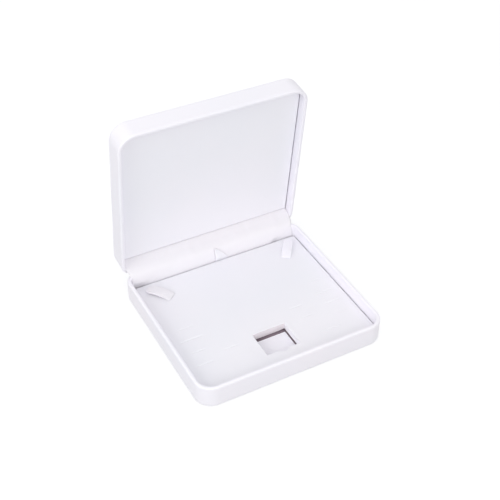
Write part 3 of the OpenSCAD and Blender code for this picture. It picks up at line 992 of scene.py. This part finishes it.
# The lift flap's back and rim: partly the covering's real darker back, partly painted shade on the side of the
# fold
BACKING_AND_SHADE_WHITE = (0.86, 0.84, 0.88)
LINING_WHITE = (0.925, 0.905, 0.965)
# The dark colour round the light patch under the well, reaching past the back wall's foot
WELL_SURROUND_DARK = (0.2, 0.15, 0.18)
BOARD_GREY = (0.36, 0.31, 0.25)
FOAM_CREAM = (0.84, 0.82, 0.76)
SHELL_GREY = (0.66, 0.66, 0.67)
STEEL_GREY = (0.62, 0.62, 0.64)

# The two tints between which leatherette varies, as shares of its colour
COOL = (0.984, 0.993, 1.0)
WARM = (1.008, 1.0, 1.002)


class Nodes:
    """A short way to write the nodes of a material or a world."""

    def __init__(self, owner):
        owner.use_nodes = True
        self.owner = owner
        self.tree = owner.node_tree
        self.tree.nodes.clear()

    def add(self, kind, inputs=None, **settings):
        """A node with its settings; an input is a value or another node's output."""
        node = self.tree.nodes.new("ShaderNode" + kind)
        for key, value in settings.items():
            setattr(node, key, value)
        for key, value in (inputs or {}).items():
            if isinstance(value, bpy.types.NodeSocket):
                self.tree.links.new(value, node.inputs[key])
            else:
                node.inputs[key].default_value = value
        return node

    def noise(self, place, scale, detail):
        node = self.add("TexNoise", {"Vector": place, "Scale": scale, "Detail": detail})
        return node.outputs["Fac"]

    def calc(self, operation, *values, clamped=False):
        inputs = dict(enumerate(values))
        return self.add("Math", inputs, operation=operation, use_clamp=clamped).outputs[0]

    def span(self, value, low, high):
        """Carries a value between 0 and 1 to the span from low to high."""
        node = self.add("MapRange", {"Value": value, "To Min": low, "To Max": high})
        return node.outputs["Result"]

    def ramp(self, value, *stops):
        """Blends two colours by a value; a stop is the value and the colour there."""
        node = self.add("ValToRGB", {"Fac": value})
        for element, (place, colour) in zip(node.color_ramp.elements, stops):
            element.position = place
            element.color = colour
        return node.outputs["Color"]

    def bump(self, height, strength, distance, under=None, invert=False):
        """A relief with its depth in metres, on top of another one if that is given."""
        inputs = {"Height": height, "Strength": strength, "Distance": distance}
        if under is not None:
            inputs["Normal"] = under
        return self.add("Bump", inputs, invert=invert).outputs["Normal"]

    def surface(self, colour, roughness, normal, more=None):
        """Ends a material with a principled shader."""
        inputs = {"Base Color": colour, "Roughness": roughness, "Normal": normal}
        return self.finish(self.add("BsdfPrincipled", inputs | (more or {})))

    def finish(self, shader, kind="Material"):
        self.add("Output" + kind, {"Surface": shader.outputs[0]})
        return self.owner


def new_material(name):
    """The nodes of a new material, and the place on the piece, in metres."""
    n = Nodes(bpy.data.materials.new(name))
    return n, n.add("TexCoord").outputs["Object"]


def tone(colour, share=1.0):
    """A colour made lighter or darker, as four numbers."""
    return tuple(min(1.0, c * share) for c in colour) + (1.0,)


def tinted(colour, tint):
    return tone([c * k for c, k in zip(colour, tint)])


def leatherette(name, colour, roughness, grain, depth, sheen=0.0):
    """White leatherette: pebbled grain, faint mottling, uneven gloss."""
    n, place = new_material(name)
    warp = n.add("TexNoise", {"Vector": place, "Scale": 900.0, "Detail": 2.0})
    mixed = n.add("Mix", {"Factor": 0.0006, "A": place, "B": warp.outputs["Color"]},
                  data_type="VECTOR")
    pebbles = n.add("TexVoronoi", {"Vector": mixed.outputs["Result"], "Scale": grain},
                    feature="DISTANCE_TO_EDGE")
    valleys = n.span(pebbles.outputs["Distance"], 0.0, 1.0)
    fine = n.noise(place, grain * 2.6, 3.0)
    clouds = n.noise(place, 34.0, 3.0)
    smudge = n.noise(place, 9.0, 4.0)
    relief = n.calc("ADD", valleys, n.span(fine, 0.0, 0.35))
    pebbled = n.bump(relief, 0.35, depth)
    waves = n.bump(clouds, 0.25, 0.0006, under=pebbled)
    skin = n.ramp(smudge, (0.35, tinted(colour, COOL)), (0.65, tinted(colour, WARM)))
    gloss = n.span(clouds, roughness - 0.06, roughness + 0.06)
    return n.surface(skin, gloss, waves, {
        "Specular IOR Level": 0.4, "Sheen Weight": sheen, "Sheen Roughness": 0.4})


def lining(name, colour, surround):
    """Woven paper lining under the well, with a dark colour all round its light patch."""
    n, place = new_material(name)
    threads = {"Vector": place, "Scale": 420.0, "Distortion": 0.6}
    warp = n.add("TexWave", threads, bands_direction="X")
    weft = n.add("TexWave", threads, bands_direction="Y")
    weave = n.calc("MULTIPLY", warp.outputs["Fac"], weft.outputs["Fac"])
    clouds = n.noise(place, 60.0, 3.0)
    skin = n.ramp(clouds, (0.3, tone(colour, 0.97)), (0.7, tone(colour, 1.02)))
    dark = n.ramp(clouds, (0.3, tone(surround, 0.8)), (0.7, tone(surround, 1.2)))
    axes = n.add("SeparateXYZ", {"Vector": place})
    across = n.calc("ABSOLUTE", axes.outputs["X"])
    in_x = n.calc("LESS_THAN", across, (WELL_HALF_W - PATCH_SIDE) * MM)
    in_y = n.calc("LESS_THAN", axes.outputs["Y"], (WELL_Y + WELL_HALF_D - PATCH_BACK) * MM)
    patch = n.calc("MULTIPLY", in_x, in_y)
    both = n.add("Mix", {"Factor": patch, "A": dark, "B": skin}, data_type="RGBA")
    return n.surface(both.outputs["Result"], 0.85, n.bump(weave, 0.3, 0.0001))


def board(name, colour):
    """Grey bookbinder's board with fibres and specks."""
    n, place = new_material(name)
    fibre = n.noise(place, 700.0, 5.0)
    specks = n.noise(place, 2400.0, 2.0)
    blend = n.calc("MULTIPLY", fibre, specks)
    skin = n.ramp(blend, (0.12, tone(colour, 0.75)), (0.4, tone(colour, 1.1)))
    return n.surface(skin, 0.9, n.bump(fibre, 0.4, 0.0001))


def foam(name, colour):
    """Open foam: small cells."""
    n, place = new_material(name)
    cells = n.add("TexVoronoi", {"Vector": place, "Scale": 2200.0}).outputs["Distance"]
    skin = n.ramp(cells, (0.1, tone(colour, 0.8)), (0.6, tone(colour)))
    return n.surface(skin, 0.95, n.bump(cells, 0.6, 0.0002, invert=True))


def plastic(name, colour):
    """Moulded plastic with a matt, slightly pitted skin."""
    n, place = new_material(name)
    pits = n.noise(place, 1500.0, 3.0)
    flow = n.noise(place, 20.0, 2.0)
    skin = n.ramp(flow, (0.3, tone(colour, 0.97)), (0.7, tone(colour, 1.02)))
    return n.surface(skin, n.span(flow, 0.48, 0.6), n.bump(pits, 0.25, 0.00005))


def steel(name, colour):
    """Zinc-plated steel: brushed streaks and dull patches."""
    n, place = new_material(name)
    squeeze = n.add("Mapping", {"Vector": place, "Scale": (120.0, 2500.0, 2500.0)})
    streaks = n.noise(squeeze.outputs["Vector"], 1.0, 3.0)
    patches = n.noise(place, 180.0, 3.0)
    skin = n.ramp(patches, (0.3, tone(colour, 0.9)), (0.7, tone(colour, 1.05)))
    gloss = n.span(patches, 0.25, 0.42)
    return n.surface(skin, gloss, n.bump(streaks, 0.2, 0.00004), {"Metallic": 0.95})


def dress(piece, material):
    """One material on a piece."""
    piece.data.materials.clear()
    piece.data.materials.append(material)


def dress_frame(materials):
    """Gives the CAD nodes that still show the material of their slot."""
    for part in frame["record"]["subparts"]:
        node = frame["nodes"][part["node"]]
        dress(node, materials[part["material_slot"]])
        node.data.polygons.foreach_set("use_smooth", [False] * len(node.data.polygons))


# ---- stage, lights and camera ----

# The camera that was fitted to the photo; its distance and target are in millimetres
CAMERA_AZIMUTH = math.radians(-28.754)
CAMERA_ELEVATION = math.radians(39.739)
CAMERA_ROLL = math.radians(0.69)
CAMERA_DISTANCE = 846.87
CAMERA_TARGET = (-2.95, 0.0, 79.55)
LENS = 71.4
SENSOR = 36.0
CLIP_START_M = 0.01

# The floor: the light it gives off to the camera, and its shades for seen and other rays
FLOOR_SIZE = 3000.0
FLOOR_GLOW = 0.66
FLOOR_SHADE = (0.41, 0.415, 0.435)
FLOOR_BOUNCE = (0.5, 0.5, 0.5)

# The even light all round: its strength at the horizon and from straight above
WORLD_SIDE = 0.74
WORLD_TOP = 0.72
FULL_WHITE = (1.0, 1.0, 1.0, 1.0)

# Softboxes: name, place and aim, width and depth, all in metres, and watts
SOFTBOXES = [
    ("back_softbox", (0.0, 1.0, 1.3), (0, 0, 0.05), (1.4, 1.0), 1.8),
    ("left_softbox", (-1.3, -0.3, 0.8), (0, 0, 0.05), (1.0, 1.0), 6.0),
    ("front_softbox", (-0.2, -1.4, 0.75), (0, 0, 0.08), (1.2, 1.0), 7.2),
]


def make_camera():
    """The camera of the photo."""
    a, e = CAMERA_AZIMUTH, CAMERA_ELEVATION
    back = Vector((math.sin(a) * math.cos(e), -math.cos(a) * math.cos(e), math.sin(e)))
    right = Vector((0, 0, 1)).cross(back).normalized()
    up = back.cross(right)
    roll_turn = Matrix.Rotation(CAMERA_ROLL, 3, back)
    turn = Matrix((roll_turn @ right, roll_turn @ up, back)).transposed()
    data = bpy.data.cameras.new("camera")
    data.lens = LENS
    data.sensor_width = SENSOR
    data.clip_start = CLIP_START_M
    camera = bpy.data.objects.new("camera", data)
    bpy.context.scene.collection.objects.link(camera)
    place = (Vector(CAMERA_TARGET) + back * CAMERA_DISTANCE) * MM
    camera.matrix_world = Matrix.Translation(place) @ turn.to_4x4()
    bpy.context.scene.camera = camera


def seen_ray(n):
    """1 for the rays that should meet a white background, 0 for those that light."""
    path = n.add("LightPath").outputs
    both = n.calc("ADD", path["Is Camera Ray"], path["Is Glossy Ray"], clamped=True)
    return n.calc("ADD", both, path["Is Transmission Ray"], clamped=True)


def make_floor():
    """A white floor that keeps a soft shadow."""
    n = Nodes(bpy.data.materials.new("floor"))
    matt = n.add("BsdfDiffuse", {"Color": FLOOR_SHADE + (1,)})
    glow = n.add("Emission", {"Color": FULL_WHITE, "Strength": FLOOR_GLOW})
    shown = n.add("AddShader", {0: matt.outputs[0], 1: glow.outputs[0]})
    paper = n.add("BsdfDiffuse", {"Color": FLOOR_BOUNCE + (1,)})
    mix = n.add("MixShader", {0: seen_ray(n), 1: paper.outputs[0], 2: shown.outputs[0]})
    size = FLOOR_SIZE
    corners = [(-size, -size, 0), (size, -size, 0), (size, size, 0), (-size, size, 0)]
    floor = mesh_object("floor", corners, [(0, 1, 2, 3)], smooth=False)
    dress(floor, n.finish(mix))


def make_world():
    """Even light all round, behind which the camera sees plain white."""
    world = bpy.data.worlds.new("studio")
    bpy.context.scene.world = world
    n = Nodes(world)
    white = n.add("Background", {"Color": FULL_WHITE, "Strength": 1.0})
    height = n.add("SeparateXYZ", {"Vector": n.add("TexCoord").outputs["Generated"]})
    level = n.span(height.outputs["Z"], WORLD_SIDE, WORLD_TOP)
    dim = n.add("Background", {"Color": FULL_WHITE, "Strength": level})
    mix = n.add("MixShader", {0: seen_ray(n), 1: dim.outputs[0], 2: white.outputs[0]})
    n.finish(mix, "World")


def make_softboxes():
    """Large soft lights in front, at the left and behind."""
    for name, place, aim, size, watts in SOFTBOXES:
        data = bpy.data.lights.new(name, "AREA")
        data.shape = "RECTANGLE"
        data.size, data.size_y = size
        data.energy = watts
        light = bpy.data.objects.new(name, data)
        bpy.context.scene.collection.objects.link(light)
        light.location = place
        direction = Vector(aim) - Vector(place)
        light.rotation_euler = direction.to_track_quat("-Z", "Y").to_euler()


# ---- the scene ----

make_camera()

# Each covering: colour, roughness, pebbles in a metre and their depth in metres
covering = leatherette("leatherette", WHITE, 0.46, 1150.0, 0.00007)
padding = leatherette("pad_leatherette", PAD_WHITE, 0.4, 1500.0, 0.00004, sheen=0.05)
# The strip's material is darker than the pad's by painted shade
strip_cloth_painted_shade = leatherette("strip_leatherette_painted_shade", STRIP_WHITE_PAINTED_SHADE, 0.44, 1500.0, 0.00004, sheen=0.05)
well_wall_painted_shade = leatherette("well_wall_painted_shade", WELL_WALL_PAINTED_SHADE, 0.6, 1500.0, 0.00003)
backing_and_shade = leatherette("covering_back_and_painted_shade", BACKING_AND_SHADE_WHITE, 0.8, 2200.0, 0.00003)
materials = {
    "leatherette": covering,
    "pad_leatherette": padding,
    "lining": lining("lining", LINING_WHITE, WELL_SURROUND_DARK),
    "board": board("board", BOARD_GREY),
    "foam": foam("foam", FOAM_CREAM),
    "shell_plastic": plastic("shell_plastic", SHELL_GREY),
    "hinge_steel": steel("hinge_steel", STEEL_GREY),
}
dress_frame(materials)

dress(make_base_wrap(), covering)
dress(make_lid_wrap(), covering)
dress_pad(make_pad(), padding, well_wall_painted_shade)
dress(make_lid_pad(), padding)
# The left tab wears the strip's darker colour, which is painted shade; the right tab wears the plain covering
dress(make_tab("left"), strip_cloth_painted_shade)
dress(make_tab("right"), covering)
make_lift_flap(padding, backing_and_shade)
dress(make_strip(), strip_cloth_painted_shade)

make_floor()
make_world()
make_softboxes()
bpy.context.scene.view_settings.view_transform = "Standard"
